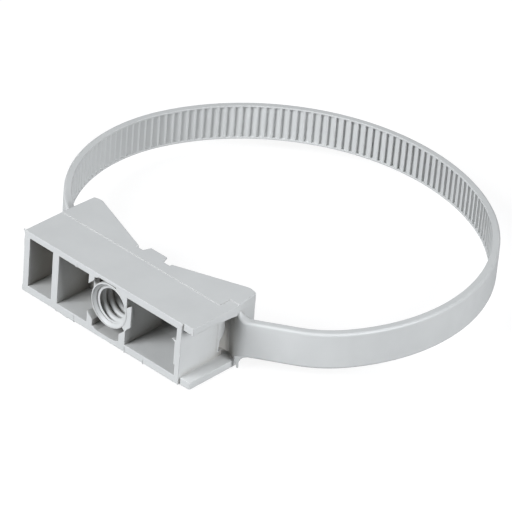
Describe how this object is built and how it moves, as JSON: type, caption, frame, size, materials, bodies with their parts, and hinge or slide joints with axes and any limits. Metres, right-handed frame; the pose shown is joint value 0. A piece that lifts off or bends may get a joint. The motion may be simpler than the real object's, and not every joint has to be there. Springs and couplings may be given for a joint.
{
  "type": "conduit clip",
  "caption": "Moulded conduit clip: a threaded fixing block with a V saddle and a toothed strap closed through it in a loop.",
  "frame": {"origin": "centre of the boss thread's mouth, 1.5 mm inside the base face", "axes": "+X along the block from the strap's entry to its root, +Y from the wall side towards the conduit, +Z along the conduit's axis"},
  "size_m": [0.0787, 0.0779, 0.0124],
  "materials": {
    "grey_plastic": "matte, as moulded"
  },
  "bodies": {
    "root": {"clip_moulding": "grey_plastic"}
  },
  "joints": []
}
